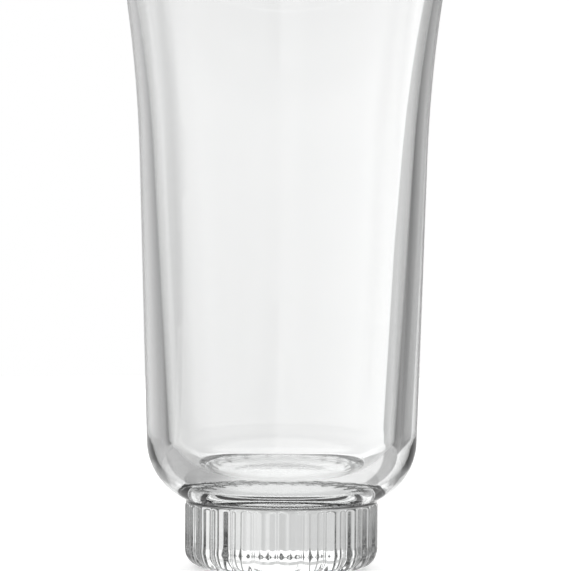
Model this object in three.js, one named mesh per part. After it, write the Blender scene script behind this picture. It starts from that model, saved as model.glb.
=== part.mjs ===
// Highball glass: a thick-walled bowl with a flared mouth, fused hot onto a pressed foot of solid
// glass that is ribbed all round. Millimetres, +Z up, with the origin at the centre of the ring
// that the glass stands on. Nothing on it moves: the two gathers of glass meet at a flat seat.

import * as THREE from "three";
import { ParametricGeometry } from "three/addons/geometries/ParametricGeometry.js";

// Whole glass
const glassHeight = 150;

// Bowl, outside
const bodyRadius = 32.4;
const bodyRound = 15.5;
const wallDraft = THREE.MathUtils.degToRad(1.7);
const flareStart = 98;
const flareRadius = 328;

// Bowl, inside
const rimThickness = 1.7;
const lowWallThickness = 5.3;
const floorThickness = 5.5;
const cavityRound = 11.2;

// Seat of the bowl on the foot
const seatHeight = 15.8;
const seatRadius = 23;
const seatFillet = 0.8;

// Foot
const footRadius = 23.2;
const footRound = 4.65;
const shoulderHeight = 0.9;
const ribCount = 24;
const ribDepth = 0.7;
const puntRadius = 16.5;
const puntDepth = 0.6;

// Fineness of the facets
const bowlSides = 72;
const ribSides = 6;
const arcDivisions = 4;
const flareSteps = 8;
const shoulderSteps = 4;
const puntSteps = 3;

// The outer round of the bowl runs into the fillet round the seat below it and into the drafted
// wall above it.
const roundCentre = new THREE.Vector2();
roundCentre.x = bodyRadius - bodyRound;
const filletCentre = new THREE.Vector2(seatRadius + seatFillet, seatHeight);
const filletReach = filletCentre.x - roundCentre.x;
roundCentre.y = seatHeight + Math.sqrt((bodyRound + seatFillet) ** 2 - filletReach ** 2);
const filletAngle = Math.atan2(filletCentre.y - roundCentre.y, filletReach);
const wallFoot = new THREE.Vector2(
  roundCentre.x + bodyRound * Math.cos(wallDraft),
  roundCentre.y - bodyRound * Math.sin(wallDraft),
);

// Outer radius of the wall: a straight draft that turns into the flare of the mouth.
function outerRadius(z) {
  const climb = Math.max(0, z - flareStart);
  return wallFoot.x + (z - wallFoot.y) * Math.tan(wallDraft) + climb ** 2 / (2 * flareRadius);
}

// The wall thins evenly from its foot to the rim.
const wallThinning = (lowWallThickness - rimThickness) / (glassHeight - wallFoot.y);

function innerRadius(z) {
  return outerRadius(z) - rimThickness - wallThinning * (glassHeight - z);
}

// Half section of the bowl, from the middle of its seat, up the outside, over the rim and down
// the inside to the middle of the cavity floor.
function bowlSection() {
  const section = new THREE.Path();
  section.moveTo(0, seatHeight);
  section.lineTo(seatRadius, seatHeight);
  section.absarc(filletCentre.x, filletCentre.y, seatFillet, Math.PI, Math.PI + filletAngle, true);
  section.absarc(roundCentre.x, roundCentre.y, bodyRound, filletAngle, -wallDraft, false);

  const rimRadius = rimThickness / 2;
  const rimHeight = glassHeight - rimRadius;
  const rimLean = Math.atan(Math.tan(wallDraft) + (rimHeight - flareStart) / flareRadius);
  const rimCentre = (outerRadius(rimHeight) + innerRadius(rimHeight)) / 2;
  const flareHeight = (step) => THREE.MathUtils.lerp(flareStart, rimHeight, step / flareSteps);
  for (let step = 0; step < flareSteps; step++) {
    section.lineTo(outerRadius(flareHeight(step)), flareHeight(step));
  }
  section.absarc(rimCentre, rimHeight, rimRadius, -rimLean, Math.PI - rimLean, false);
  for (let step = flareSteps - 1; step >= 0; step--) {
    section.lineTo(innerRadius(flareHeight(step)), flareHeight(step));
  }

  const floorHeight = seatHeight + floorThickness;
  const cavityLean = Math.atan(Math.tan(wallDraft) + wallThinning);
  const cavityRoundHeight = floorHeight + cavityRound;
  const cavityRoundCentre = innerRadius(cavityRoundHeight) - cavityRound / Math.cos(cavityLean);
  section.absarc(cavityRoundCentre, cavityRoundHeight, cavityRound, -cavityLean, -Math.PI / 2, true);
  section.lineTo(0, floorHeight);
  return section.getPoints(arcDivisions);
}

// Half section of the foot over the crest of a rib, from the middle of the punt under it to the
// middle of its top. Each point says how much of the rib's depth shows there: the ribs start at
// the standing ring, wrap round the lower edge, run up the side and die out in the plain shoulder.
function footSection() {
  const points = [];
  for (let step = 0; step <= puntSteps; step++) {
    const share = step / puntSteps;
    points.push({ r: puntRadius * share, z: puntDepth * (1 - share ** 2), rib: 0 });
  }

  const edge = new THREE.Path();
  edge.absarc(footRadius - footRound, footRound, footRound, -Math.PI / 2, 0, false);
  for (const point of edge.getPoints(arcDivisions)) {
    points.push({ r: point.x, z: point.y, rib: 1 });
  }

  for (let step = 0; step <= shoulderSteps; step++) {
    const share = step / shoulderSteps;
    const fade = THREE.MathUtils.smoothstep(share, 0, 1);
    points.push({
      r: THREE.MathUtils.lerp(footRadius, seatRadius, fade),
      z: seatHeight - shoulderHeight * (1 - share),
      rib: 1 - fade,
    });
  }
  points.push({ r: 0, z: seatHeight, rib: 0 });
  return points;
}

// Depth of the rib pattern at an angle round the foot: 0 on the crest of a rib and 1 in the
// groove between two ribs.
function ribGroove(angle) {
  const turns = (angle * ribCount) / (2 * Math.PI);
  return (2 * (turns - Math.round(turns))) ** 2;
}

function bowlGeometry() {
  return new THREE.LatheGeometry(bowlSection(), bowlSides).rotateX(Math.PI / 2);
}

function footGeometry() {
  const section = footSection();
  const last = section.length - 1;
  const surface = (u, v, target) => {
    const angle = 2 * Math.PI * u;
    const point = section[Math.round(v * last)];
    const radius = Math.max(0, point.r - ribDepth * point.rib * ribGroove(angle));
    target.set(radius * Math.cos(angle), radius * Math.sin(angle), point.z);
  };
  return new ParametricGeometry(surface, ribCount * ribSides, last);
}

function clearGlass(color) {
  return new THREE.MeshStandardMaterial({
    color,
    roughness: 0.03,
    metalness: 0,
    transparent: true,
    opacity: 0.35,
  });
}

const bowl = new THREE.Mesh(bowlGeometry(), clearGlass(0xf3f5f4));
bowl.name = "bowl";

const foot = new THREE.Mesh(footGeometry(), clearGlass(0xe9edec));
foot.name = "foot";

const glass = new THREE.Group();
glass.name = "highball_glass";
glass.add(bowl, foot);

export default glass;
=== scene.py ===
import math

import bpy
from mathutils import Matrix, Vector


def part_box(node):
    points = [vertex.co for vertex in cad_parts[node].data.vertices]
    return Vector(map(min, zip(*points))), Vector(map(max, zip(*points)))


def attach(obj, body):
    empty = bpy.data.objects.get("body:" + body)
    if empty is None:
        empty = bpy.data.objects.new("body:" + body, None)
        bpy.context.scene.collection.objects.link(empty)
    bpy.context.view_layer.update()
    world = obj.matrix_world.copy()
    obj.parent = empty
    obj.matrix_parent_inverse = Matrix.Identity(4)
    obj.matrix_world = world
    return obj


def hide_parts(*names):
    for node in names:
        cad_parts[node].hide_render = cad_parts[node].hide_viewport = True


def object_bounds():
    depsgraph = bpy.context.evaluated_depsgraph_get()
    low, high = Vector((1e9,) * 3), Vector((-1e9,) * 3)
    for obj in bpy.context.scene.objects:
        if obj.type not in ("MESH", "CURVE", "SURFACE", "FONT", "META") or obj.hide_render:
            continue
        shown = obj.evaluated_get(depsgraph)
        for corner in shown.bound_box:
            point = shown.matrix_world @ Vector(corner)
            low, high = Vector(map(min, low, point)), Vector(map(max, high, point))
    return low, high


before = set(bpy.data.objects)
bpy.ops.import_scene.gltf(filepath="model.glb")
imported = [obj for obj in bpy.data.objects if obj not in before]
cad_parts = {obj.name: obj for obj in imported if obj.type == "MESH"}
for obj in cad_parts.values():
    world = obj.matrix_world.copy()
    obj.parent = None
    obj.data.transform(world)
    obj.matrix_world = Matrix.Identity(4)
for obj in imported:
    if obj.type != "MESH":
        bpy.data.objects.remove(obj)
cad_low, cad_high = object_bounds()
scene = bpy.context.scene
scene.view_settings.view_transform = "Standard"


# Bowl: the drinking vessel, one gather of clear glass blown in a turned mould. The wall thins
# evenly from its foot to the fire-polished rim, and the mouth flares. Its flat underside is
# fused hot onto the foot, with a small fillet of glass round the seam.

glass_height = cad_high.z
seat_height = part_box("foot")[1].z
seat_radius = 0.0230
seat_fillet = 0.0008
body_radius = 0.0324
body_round = 0.0155
wall_draft = math.radians(1.7)
flare_start = 0.098
flare_radius = 0.328
rim_thickness = 0.0017
low_wall_thickness = 0.0053
floor_thickness = 0.0055
cavity_round = 0.0112

bowl_sides = 288
fillet_steps = 6
body_round_steps = 24
wall_steps = 40
rim_steps = 12
cavity_round_steps = 40

bowl_ripple_scale = 45.0
bowl_ripple_height = 0.00001

# The outer round of the bowl runs into the fillet below it and into the drafted wall above it.
fillet_r = seat_radius + seat_fillet
round_r = body_radius - body_round
fillet_reach = fillet_r - round_r
round_z = seat_height + math.sqrt((body_round + seat_fillet) ** 2 - fillet_reach ** 2)
fillet_angle = math.atan2(seat_height - round_z, fillet_reach)
wall_foot_r = round_r + body_round * math.cos(wall_draft)
wall_foot_z = round_z - body_round * math.sin(wall_draft)
wall_thinning = (low_wall_thickness - rim_thickness) / (glass_height - wall_foot_z)


def outer_radius(z):
    """Outside of the wall: a straight draft that turns into the flare of the mouth."""
    climb = max(0.0, z - flare_start)
    return wall_foot_r + (z - wall_foot_z) * math.tan(wall_draft) + climb ** 2 / (2 * flare_radius)


def inner_radius(z):
    """Inside of the wall, which thins evenly from its foot to the rim."""
    return outer_radius(z) - rim_thickness - wall_thinning * (glass_height - z)


def arc(centre, radius, start, end, steps):
    """Points of a half section along a circular arc, as (radius, height)."""
    r, z = centre
    angles = [start + (end - start) * step / steps for step in range(steps + 1)]
    return [(r + radius * math.cos(angle), z + radius * math.sin(angle)) for angle in angles]


def bowl_section():
    """Half section from the middle of the seat, up the outside and down the inside."""
    rim_radius = rim_thickness / 2
    rim_z = glass_height - rim_radius
    rim_lean = math.atan(math.tan(wall_draft) + (rim_z - flare_start) / flare_radius)
    rim_r = (outer_radius(rim_z) + inner_radius(rim_z)) / 2
    floor_z = seat_height + floor_thickness
    hollow_z = floor_z + cavity_round
    hollow_lean = math.atan(math.tan(wall_draft) + wall_thinning)
    hollow_r = inner_radius(hollow_z) - cavity_round / math.cos(hollow_lean)
    wall_rise = (rim_z - wall_foot_z) / wall_steps
    heights = [wall_foot_z + wall_rise * step for step in range(1, wall_steps)]
    section = [(0.0, seat_height)]
    section += arc((fillet_r, seat_height), seat_fillet, math.pi, math.pi + fillet_angle, fillet_steps)
    section += arc((round_r, round_z), body_round, fillet_angle, -wall_draft, body_round_steps)[1:]
    section += [(outer_radius(z), z) for z in heights]
    section += arc((rim_r, rim_z), rim_radius, -rim_lean, math.pi - rim_lean, rim_steps)
    section += [(inner_radius(z), z) for z in reversed(heights) if z > hollow_z]
    section += arc((hollow_r, hollow_z), cavity_round, -hollow_lean, -math.pi / 2, cavity_round_steps)
    section += [(0.0, floor_z)]
    return section


def math_node(tree, operation, *values):
    """A Math node whose inputs are linked sockets or plain numbers; returns its output."""
    node = tree.nodes.new("ShaderNodeMath")
    node.operation = operation
    for socket, value in zip(node.inputs, values):
        if isinstance(value, bpy.types.NodeSocket):
            tree.links.new(value, socket)
        else:
            socket.default_value = value
    return node.outputs[0]


def turned_glass_tree():
    """Turns a half section about the axis, then presses upright ribs into it. The section's
    points come in order, with X as the radius and Z as the height. Their attributes rib and rise
    say how far a groove goes in and up there, as shares of the rib's depth."""
    weld_distance = 1e-7
    tree = bpy.data.node_groups.new("turned_glass", "GeometryNodeTree")
    face = tree.interface
    for name, kind in (
        ("Section", "NodeSocketGeometry"),
        ("Sides", "NodeSocketInt"),
        ("Rib Count", "NodeSocketInt"),
        ("Rib Depth", "NodeSocketFloat"),
        ("Groove Width", "NodeSocketFloat"),
        ("Glass", "NodeSocketMaterial"),
    ):
        face.new_socket(name, in_out="INPUT", socket_type=kind)
    face.new_socket("Geometry", in_out="OUTPUT", socket_type="NodeSocketGeometry")
    node, link = tree.nodes.new, tree.links.new
    given = node("NodeGroupInput").outputs

    # A flat grid with one column for each side and one row for each point of the section.
    size = node("GeometryNodeAttributeDomainSize")
    link(given["Section"], size.inputs["Geometry"])
    points = size.outputs["Point Count"]
    grid = node("GeometryNodeMeshGrid")
    link(math_node(tree, "ADD", given["Sides"], 1.0), grid.inputs["Vertices X"])
    link(points, grid.inputs["Vertices Y"])
    index = node("GeometryNodeInputIndex").outputs[0]
    column = math_node(tree, "FLOOR", math_node(tree, "DIVIDE", index, points))
    row = math_node(tree, "MODULO", index, points)
    turn = math_node(tree, "FRACT", math_node(tree, "DIVIDE", column, given["Sides"]))
    angle = math_node(tree, "MULTIPLY", turn, 2 * math.pi)

    def at_row(kind, field):
        sample = node("GeometryNodeSampleIndex")
        sample.data_type = kind
        link(given["Section"], sample.inputs["Geometry"])
        link(field, sample.inputs["Value"])
        link(row, sample.inputs["Index"])
        return sample.outputs["Value"]

    def share_at_row(name):
        share = node("GeometryNodeInputNamedAttribute")
        share.data_type = "FLOAT"
        share.inputs["Name"].default_value = name
        return at_row("FLOAT", share.outputs["Attribute"])

    # Across a rib, side runs from 0 on its crest to 1 in the middle of the groove beside it. The
    # rib's crown is a parabola, and the bottom of the groove is rounded.
    ribs_round = math_node(tree, "MULTIPLY", turn, given["Rib Count"])
    off_crest = math_node(tree, "SUBTRACT", ribs_round, math_node(tree, "ROUND", ribs_round))
    side = math_node(tree, "ABSOLUTE", math_node(tree, "MULTIPLY", off_crest, 2.0))
    crown = math_node(tree, "SUBTRACT", 1.0, given["Groove Width"])
    inside = math_node(tree, "MAXIMUM", math_node(tree, "SUBTRACT", side, crown), 0.0)
    eased = math_node(tree, "DIVIDE", math_node(tree, "POWER", inside, 2.0), given["Groove Width"])
    groove = math_node(tree, "SUBTRACT", math_node(tree, "POWER", side, 2.0), eased)
    groove = math_node(tree, "DIVIDE", groove, crown)
    depth = math_node(tree, "MULTIPLY", groove, given["Rib Depth"])

    place = node("ShaderNodeSeparateXYZ")
    link(at_row("FLOAT_VECTOR", node("GeometryNodeInputPosition").outputs[0]), place.inputs[0])
    inward = math_node(tree, "MULTIPLY", depth, share_at_row("rib"))
    radius = math_node(tree, "SUBTRACT", place.outputs["X"], inward)
    height = math_node(tree, "MULTIPLY_ADD", depth, share_at_row("rise"), place.outputs["Z"])
    position = node("ShaderNodeCombineXYZ")
    link(math_node(tree, "MULTIPLY", radius, math_node(tree, "COSINE", angle)), position.inputs["X"])
    link(math_node(tree, "MULTIPLY", radius, math_node(tree, "SINE", angle)), position.inputs["Y"])
    link(height, position.inputs["Z"])
    shape = node("GeometryNodeSetPosition")
    link(grid.outputs["Mesh"], shape.inputs["Geometry"])
    link(position.outputs[0], shape.inputs["Position"])

    closed = node("GeometryNodeMergeByDistance")
    closed.inputs["Distance"].default_value = weld_distance
    link(shape.outputs["Geometry"], closed.inputs["Geometry"])
    smooth = node("GeometryNodeSetShadeSmooth")
    link(closed.outputs["Geometry"], smooth.inputs["Geometry"])
    real = node("GeometryNodeRealizeInstances")
    link(smooth.outputs["Geometry"], real.inputs["Geometry"])
    paint = node("GeometryNodeSetMaterial")
    link(real.outputs["Geometry"], paint.inputs["Geometry"])
    link(given["Glass"], paint.inputs["Material"])
    link(paint.outputs["Geometry"], node("NodeGroupOutput").inputs["Geometry"])
    return tree


turned_glass = turned_glass_tree()


def turn_piece(name, section, settings):
    """Runs the turning tree on a half section and returns the finished piece as a plain mesh. Each
    point of the section has its radius, its height and the rib and rise shares of a groove."""
    radii, heights, ribs, rises = zip(*section)
    line = bpy.data.meshes.new(name + "_section")
    line.from_pydata([(r, 0.0, z) for r, z in zip(radii, heights)], [], [])
    line.attributes.new("rib", "FLOAT", "POINT").data.foreach_set("value", ribs)
    line.attributes.new("rise", "FLOAT", "POINT").data.foreach_set("value", rises)
    blank = bpy.data.objects.new(name + "_blank", line)
    scene.collection.objects.link(blank)
    turning = blank.modifiers.new("turning", "NODES")
    turning.node_group = turned_glass
    for item in turned_glass.interface.items_tree:
        if item.in_out == "INPUT" and item.name in settings:
            turning[item.identifier] = settings[item.name]
    graph = bpy.context.evaluated_depsgraph_get()
    mesh = bpy.data.meshes.new_from_object(blank.evaluated_get(graph))
    bpy.data.objects.remove(blank)
    mesh.name = name
    piece = bpy.data.objects.new(name, mesh)
    scene.collection.objects.link(piece)
    return piece


def clear_glass(name, ripple_scale, ripple_height):
    """Clear glass with a faint grey depth, a soft ripple from the mould and a slight haze."""
    refraction = 1.52
    haze_scale = 60.0
    haze_detail = 4.0
    haze_start = 0.45
    haze_full = 0.75
    haze_roughness = 0.015
    dull_tint = (0.975, 0.980, 0.978, 1)
    bright_tint = (1.0, 1.0, 1.0, 1)
    depth_grey = (0.40, 0.41, 0.405, 1)
    depth_density = 16.0

    glass = bpy.data.materials.new(name)
    glass.use_nodes = True
    tree = glass.node_tree
    node, link = tree.nodes.new, tree.links.new
    shader = tree.nodes["Principled BSDF"]
    shader.inputs["Transmission Weight"].default_value = 1.0
    shader.inputs["IOR"].default_value = refraction

    place = node("ShaderNodeTexCoord").outputs["Object"]
    ripple = node("ShaderNodeTexNoise")
    ripple.inputs["Scale"].default_value = ripple_scale
    ripple.inputs["Detail"].default_value = 1.0
    link(place, ripple.inputs["Vector"])
    bump = node("ShaderNodeBump")
    bump.inputs["Strength"].default_value = 1.0
    bump.inputs["Distance"].default_value = ripple_height
    link(ripple.outputs["Fac"], bump.inputs["Height"])
    link(bump.outputs["Normal"], shader.inputs["Normal"])

    haze = node("ShaderNodeTexNoise")
    haze.inputs["Scale"].default_value = haze_scale
    haze.inputs["Detail"].default_value = haze_detail
    link(place, haze.inputs["Vector"])
    spread = node("ShaderNodeMapRange")
    spread.inputs["From Min"].default_value = haze_start
    spread.inputs["From Max"].default_value = haze_full
    spread.inputs["To Min"].default_value = 0.0
    spread.inputs["To Max"].default_value = haze_roughness
    link(haze.outputs["Fac"], spread.inputs["Value"])
    link(spread.outputs["Result"], shader.inputs["Roughness"])

    tint = node("ShaderNodeValToRGB")
    tint.color_ramp.elements[0].color = dull_tint
    tint.color_ramp.elements[1].color = bright_tint
    link(haze.outputs["Fac"], tint.inputs["Fac"])
    link(tint.outputs["Color"], shader.inputs["Base Color"])

    depth = node("ShaderNodeVolumeAbsorption")
    depth.inputs["Color"].default_value = depth_grey
    depth.inputs["Density"].default_value = depth_density
    link(depth.outputs["Volume"], tree.nodes["Material Output"].inputs["Volume"])
    return glass


def fused_joint():
    """The hidden faces where the bowl and the foot have melted together: light goes straight on."""
    joint = bpy.data.materials.new("fused_joint")
    joint.use_nodes = True
    tree = joint.node_tree
    tree.nodes.remove(tree.nodes["Principled BSDF"])
    through = tree.nodes.new("ShaderNodeBsdfTransparent")
    tree.links.new(through.outputs["BSDF"], tree.nodes["Material Output"].inputs["Surface"])
    return joint


def fuse_seat(piece, joint):
    """Gives a piece's flat seat the fused joint, and keeps the edge round it crisp."""
    seat_tolerance = 1e-6
    crisp_angle = math.radians(50)
    mesh = piece.data
    mesh.materials.append(joint)
    for polygon in mesh.polygons:
        heights = [mesh.vertices[corner].co.z for corner in polygon.vertices]
        if all(abs(z - seat_height) < seat_tolerance for z in heights):
            polygon.material_index = 1
            polygon.use_smooth = False
    mesh.set_sharp_from_angle(angle=crisp_angle)


seam = fused_joint()
bowl = turn_piece(
    "drinking_bowl",
    [(r, z, 0.0, 0.0) for r, z in bowl_section()],
    {
        "Sides": bowl_sides,
        "Rib Count": 1,
        "Rib Depth": 0.0,
        "Groove Width": 0.5,
        "Glass": clear_glass("bowl_glass", bowl_ripple_scale, bowl_ripple_height),
    },
)
fuse_seat(bowl, seam)
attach(bowl, "root")
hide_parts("bowl")


# Foot: a short puck of solid glass pressed in a fluted mould. Its upright ribs die out in a plain
# shoulder under the bowl and wrap round the lower edge to the flat ring that it stands on. A
# shallow punt keeps the middle of the underside off the table.

foot_radius = 0.0232
foot_round = 0.00465
shoulder_height = 0.0009
rib_count = 24
rib_depth = 0.0007
rib_wrap = math.radians(40.0)
groove_width = 0.25
punt_radius = 0.0165
punt_depth = 0.0006

rib_sides = 16
punt_steps = 12
foot_round_steps = 24
side_steps = 24
shoulder_steps = 16

foot_ripple_scale = 160.0
foot_ripple_height = 0.000012


def ease(share):
    """Runs from 0 to 1 as share does, with a smooth start and end."""
    return share * share * (3 - 2 * share)


def foot_section():
    """Half section over a rib's crest, from the middle of the punt to the middle of the seat. On
    the lower round a groove goes in square to the surface, so it goes up as well as in."""
    section = []
    for step in range(punt_steps + 1):
        share = step / punt_steps
        section.append((punt_radius * share, punt_depth * (1 - share ** 2), 0.0, 0.0))
    for step in range(foot_round_steps + 1):
        tilt = math.pi / 2 * (step / foot_round_steps - 1)
        share = ease(min(1.0, (tilt + math.pi / 2) / rib_wrap))
        r = foot_radius + foot_round * (math.cos(tilt) - 1)
        z = foot_round * (math.sin(tilt) + 1)
        section.append((r, z, share * math.cos(tilt), -share * math.sin(tilt)))
    shoulder_foot = seat_height - shoulder_height
    for step in range(1, side_steps):
        z = foot_round + (shoulder_foot - foot_round) * step / side_steps
        section.append((foot_radius, z, 1.0, 0.0))
    for step in range(shoulder_steps + 1):
        share = step / shoulder_steps
        r = foot_radius + (seat_radius - foot_radius) * ease(share)
        section.append((r, shoulder_foot + shoulder_height * share, 1.0 - ease(share), 0.0))
    section.append((0.0, seat_height, 0.0, 0.0))
    return section


foot = turn_piece(
    "ribbed_foot",
    foot_section(),
    {
        "Sides": rib_count * rib_sides,
        "Rib Count": rib_count,
        "Rib Depth": rib_depth,
        "Groove Width": groove_width,
        "Glass": clear_glass("foot_glass", foot_ripple_scale, foot_ripple_height),
    },
)
fuse_seat(foot, seam)
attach(foot, "root")
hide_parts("foot")


# Table: a plain white disc that the glass stands on, with a faint shadow of the glass. What the
# glass shows of it is toned on its own with painted light: a painted shadow of the glass makes it
# darker to both sides, a painted pool of the light that the glass focuses makes it bright close
# behind the foot, and it is cut off further back, where the white sweep shows in its place.

table_radius = 0.5
table_corners = 64
table_drop = 0.0002
table_white = (0.8, 0.8, 0.8, 1)
table_lift = 0.55
table_level = 0.85
table_cut = 0.041
near_edge = (0.065, 0.12)
near_gain = 0.17
# Painted shadow of the glass on the table, as the glass shows it: its edges and how much it darkens.
left_shade_edge = (-0.030, -0.012)
right_shade_edge = (0.022, 0.034)
right_shade_back = (0.010, 0.014)
shade_loss = 0.48
# Painted pool of the light that the glass focuses onto the table close behind the foot.
bright_back = (0.025, 0.028)
bright_edge = (0.012, 0.022)
bright_gain = 0.6
camera_turn = math.radians(5.0)


def ramp_up(tree, value, low, high, kind="SMOOTHSTEP"):
    """0 where a value is below low and 1 where it is above high."""
    node = tree.nodes.new("ShaderNodeMapRange")
    node.interpolation_type = kind
    node.inputs["From Min"].default_value = low
    node.inputs["From Max"].default_value = high
    tree.links.new(value, node.inputs["Value"])
    return node.outputs["Result"]


def ramp_down(tree, value, low, high, kind="SMOOTHSTEP"):
    """1 where a value is below low and 0 where it is above high."""
    return math_node(tree, "SUBTRACT", 1.0, ramp_up(tree, value, low, high, kind))


def product(tree, first, *others):
    for other in others:
        first = math_node(tree, "MULTIPLY", first, other)
    return first


def largest(tree, first, *others):
    for other in others:
        first = math_node(tree, "MAXIMUM", first, other)
    return first


def place_seen(tree):
    """Object coordinates turned to the view: across to the right, back away from the camera, up."""
    spin = tree.nodes.new("ShaderNodeVectorRotate")
    spin.rotation_type = "Z_AXIS"
    spin.inputs["Angle"].default_value = camera_turn
    tree.links.new(tree.nodes.new("ShaderNodeTexCoord").outputs["Object"], spin.inputs["Vector"])
    place = tree.nodes.new("ShaderNodeSeparateXYZ")
    tree.links.new(spin.outputs["Vector"], place.inputs[0])
    return place.outputs


def shown_in_glass(tree, level, cover, shader=None):
    """Gives a stage material a brightness of its own where the glass shows it: a glow as far as its
    cover goes, and clear beyond. Seen past the glass it keeps the given shader, or is clear."""
    clear = tree.nodes.new("ShaderNodeBsdfTransparent")
    glow = tree.nodes.new("ShaderNodeEmission")
    tree.links.new(level, glow.inputs["Strength"])
    covered = tree.nodes.new("ShaderNodeMixShader")
    tree.links.new(cover, covered.inputs["Fac"])
    tree.links.new(clear.outputs["BSDF"], covered.inputs[1])
    tree.links.new(glow.outputs["Emission"], covered.inputs[2])
    path = tree.nodes.new("ShaderNodeLightPath").outputs
    mixed = tree.nodes.new("ShaderNodeMixShader")
    tree.links.new(path["Is Glossy Ray"], mixed.inputs["Fac"])
    tree.links.new((shader or clear).outputs["BSDF"], mixed.inputs[1])
    tree.links.new(covered.outputs["Shader"], mixed.inputs[2])
    tree.links.new(mixed.outputs["Shader"], tree.nodes["Material Output"].inputs["Surface"])


def table_top():
    mesh = bpy.data.meshes.new("table")
    angles = [2 * math.pi * corner / table_corners for corner in range(table_corners)]
    ring = [(table_radius * math.cos(a), table_radius * math.sin(a), -table_drop) for a in angles]
    mesh.from_pydata(ring, [], [list(range(table_corners))])
    paint = bpy.data.materials.new("white_table")
    paint.use_nodes = True
    tree = paint.node_tree
    shader = tree.nodes["Principled BSDF"]
    shader.inputs["Base Color"].default_value = table_white
    shader.inputs["Roughness"].default_value = 1.0
    shader.inputs["Specular IOR Level"].default_value = 0.0
    shader.inputs["Emission Color"].default_value = (1, 1, 1, 1)
    path = tree.nodes.new("ShaderNodeLightPath").outputs
    lift = math_node(tree, "MULTIPLY", path["Is Camera Ray"], table_lift)
    tree.links.new(lift, shader.inputs["Emission Strength"])

    across, back, _ = place_seen(tree)
    aside = math_node(tree, "ABSOLUTE", across)
    near = ramp_down(tree, aside, *near_edge)
    # Painted shadow of the glass: darker to the left, and to the right further back.
    left_shade = ramp_down(tree, across, *left_shade_edge)
    right_shade = ramp_up(tree, across, *right_shade_edge)
    right_shade = product(tree, right_shade, ramp_up(tree, back, *right_shade_back))
    shade = product(tree, largest(tree, left_shade, right_shade), near)
    # Painted pool of focused light, bright close behind the foot.
    bright = product(tree, ramp_up(tree, back, *bright_back), ramp_down(tree, aside, *bright_edge))
    level = math_node(tree, "MULTIPLY_ADD", near, near_gain, table_level)
    level = math_node(tree, "MULTIPLY_ADD", shade, -shade_loss, level)
    level = math_node(tree, "MULTIPLY_ADD", bright, bright_gain, level)
    shown_in_glass(tree, level, math_node(tree, "LESS_THAN", back, table_cut), shader)
    mesh.materials.append(paint)
    table = bpy.data.objects.new("table", mesh)
    scene.collection.objects.link(table)
    return table


table_top()


# Backdrop: two grey cards stood behind the glass with a clear gap between them, which only the
# glass shows. They draw its sides: the left card fades in softly, and the right one has a crisp
# edge that leans outwards towards its foot, and darkens away from that edge.

board_distance = 0.13
board_half_width = 0.35
board_low = -0.25
board_high = 0.16
left_card_fade = (-0.19, -0.03)
left_card_end = (-0.30, -0.20)
left_card_tone = 0.25
right_card_edge = 0.057
right_card_softness = 0.003
right_card_end = (0.20, 0.29)
right_card_tone = 0.63
right_card_darkening = 0.42
right_card_darkest = 0.15
lean_start = 0.06
lean_slope = 0.15
splay_start = -0.004
splay_slope = 0.7
to_view = Matrix.Rotation(-camera_turn, 3, "Z")


def backdrop():
    mesh = bpy.data.meshes.new("backdrop")
    corners = [(-1, board_low), (1, board_low), (1, board_high), (-1, board_high)]
    places = [Vector((side * board_half_width, board_distance, z)) for side, z in corners]
    mesh.from_pydata([to_view @ place for place in places], [], [[0, 1, 2, 3]])
    paint = bpy.data.materials.new("grey_cards")
    paint.use_nodes = True
    tree = paint.node_tree
    tree.nodes.remove(tree.nodes["Principled BSDF"])

    across, _, up = place_seen(tree)
    lean = largest(tree, math_node(tree, "SUBTRACT", lean_start, up), 0.0)
    splay = largest(tree, math_node(tree, "SUBTRACT", splay_start, up), 0.0)
    edge = math_node(tree, "MULTIPLY_ADD", lean, lean_slope, right_card_edge)
    edge = math_node(tree, "MULTIPLY_ADD", splay, splay_slope, edge)
    right_card = ramp_up(tree, math_node(tree, "SUBTRACT", across, edge), 0.0, right_card_softness)
    right_card = product(tree, right_card, ramp_down(tree, across, *right_card_end))
    left_card = ramp_down(tree, across, *left_card_fade, "LINEAR")
    left_card = product(tree, left_card, ramp_up(tree, across, *left_card_end))

    dark = ramp_up(tree, across, right_card_edge, right_card_darkest, "LINEAR")
    right_tone = math_node(tree, "MULTIPLY_ADD", dark, -right_card_darkening, right_card_tone)
    on_right = math_node(tree, "GREATER_THAN", across, 0.0)
    lighter = math_node(tree, "SUBTRACT", right_tone, left_card_tone)
    tone = math_node(tree, "MULTIPLY_ADD", on_right, lighter, left_card_tone)
    shown_in_glass(tree, tone, largest(tree, right_card, left_card))
    mesh.materials.append(paint)
    board = bpy.data.objects.new("backdrop", mesh)
    scene.collection.objects.link(board)
    return board


backdrop()


# Studio: a white sweep behind the glass with a strip light above its horizon, a soft light
# overhead, a soft box to the right, pale surroundings and a grey floor to the sides. A dark gap
# on each side of the sweep gives the glass its edges.

# The sideways edges are in degrees from the middle of the sweep, and floor_drop is in degrees up
# from level. The other heights are sines of the angle up.
horizon = (0.05, 0.15)
sweep_level = 0.985
sweep_low_edge = (60.0, 75.0)
sweep_high_edge = (28.0, 44.0)
sweep_right = (-2.0, 14.0)
sweep_right_gain = 0.26
sweep_top = (0.38, 0.46)
sweep_top_loss = 0.6
strip_bottom = (0.06, 0.13)
strip_edge = (20.0, 32.0)
overhead_edge = (0.6, 0.75)
lamp_level = 1.9
softbox_left = (60.0, 80.0)
softbox_right = (110.0, 130.0)
surround_edge = (82.0, 95.0)
surround_level = 0.85
floor_edge = (65.0, 85.0)
floor_drop = (-16.0, -9.0)
floor_level = 0.6
gap_level = 0.03


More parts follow.
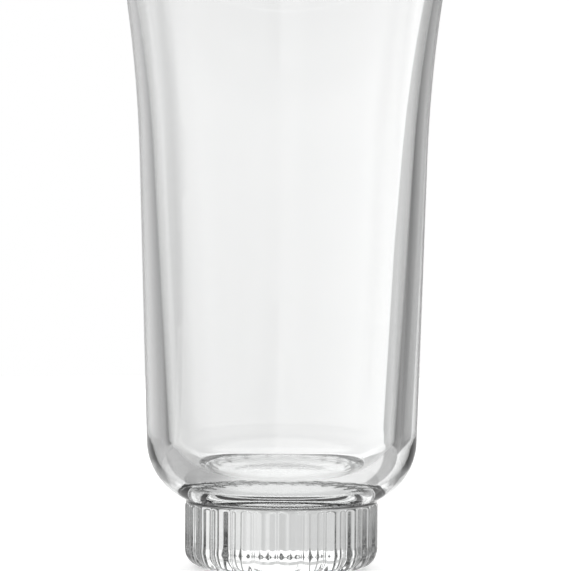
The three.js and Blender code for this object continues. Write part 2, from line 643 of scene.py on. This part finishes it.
def studio():
    world = bpy.data.worlds.new("studio")
    scene.world = world
    world.use_nodes = True
    tree = world.node_tree
    node, link = tree.nodes.new, tree.links.new
    background = tree.nodes["Background"]
    background.inputs["Color"].default_value = (1, 1, 1, 1)
    path = node("ShaderNodeLightPath").outputs
    direction = node("ShaderNodeSeparateXYZ")
    link(node("ShaderNodeTexCoord").outputs["Generated"], direction.inputs[0])
    x, y, z = direction.outputs
    azimuth = math_node(tree, "DEGREES", math_node(tree, "ARCTAN2", x, y))
    right = math_node(tree, "SUBTRACT", azimuth, math.degrees(camera_turn))
    right = math_node(tree, "WRAP", right, 180.0, -180.0)
    aside = math_node(tree, "ABSOLUTE", right)
    degrees_up = math_node(tree, "DEGREES", math_node(tree, "ARCSINE", z))

    low = ramp_down(tree, z, *horizon)
    high = ramp_up(tree, z, *sweep_top)
    to_right = ramp_up(tree, right, *sweep_right)
    white = math_node(tree, "MULTIPLY_ADD", to_right, sweep_right_gain, sweep_level)
    white = product(tree, white, math_node(tree, "MULTIPLY_ADD", high, -sweep_top_loss, 1.0))
    sweep = product(tree, ramp_down(tree, aside, *sweep_low_edge), low)
    sweep = largest(tree, sweep, ramp_down(tree, aside, *sweep_high_edge))
    behind = product(tree, sweep, white)

    strip = product(tree, ramp_up(tree, z, *strip_bottom), math_node(tree, "SUBTRACT", 1.0, high))
    strip = product(tree, strip, ramp_down(tree, aside, *strip_edge))
    lamps = product(tree, largest(tree, strip, ramp_up(tree, z, *overhead_edge)), lamp_level)

    softbox = product(tree, ramp_up(tree, right, *softbox_left), ramp_down(tree, right, *softbox_right))
    surround = product(tree, ramp_up(tree, aside, *surround_edge), surround_level)
    around = product(tree, largest(tree, surround, softbox), low)
    floor = product(tree, ramp_down(tree, degrees_up, *floor_drop), ramp_up(tree, aside, *floor_edge))
    floor = product(tree, floor, floor_level)
    level = largest(tree, around, behind, lamps, floor, gap_level, path["Is Camera Ray"])
    link(level, background.inputs["Strength"])


studio()


# Camera: a long lens in front of the glass and a little above its rim, turned, tipped and rolled
# to the photograph's view. The frame is square, and a pixel of it spans pixel_size at the glass.

frame_pixels = 571
pixel_size = 0.0002392
camera_distance = 2.0
camera_height = 0.229
camera_roll = math.radians(0.363)
aim = Vector((0.00063, 0.0, 0.0676))

camera_data = bpy.data.cameras.new("camera")
camera = bpy.data.objects.new("camera", camera_data)
scene.collection.objects.link(camera)
camera.location = to_view @ Vector((0.0, -camera_distance, camera_height))
look = to_view @ aim - camera.location
camera.rotation_mode = "QUATERNION"
facing = look.to_track_quat("-Z", "Y").to_matrix() @ Matrix.Rotation(camera_roll, 3, "Z")
camera.rotation_quaternion = facing.to_quaternion()
camera_data.sensor_width = 36.0
camera_data.lens = camera_data.sensor_width * look.length / (frame_pixels * pixel_size)
camera_data.clip_start = 0.05
camera_data.clip_end = 50.0
scene.camera = camera

# Light crosses many faces in the ribbed foot, so it is followed further than by default.
scene.cycles.max_bounces = 24
scene.cycles.transmission_bounces = 24
scene.cycles.glossy_bounces = 8
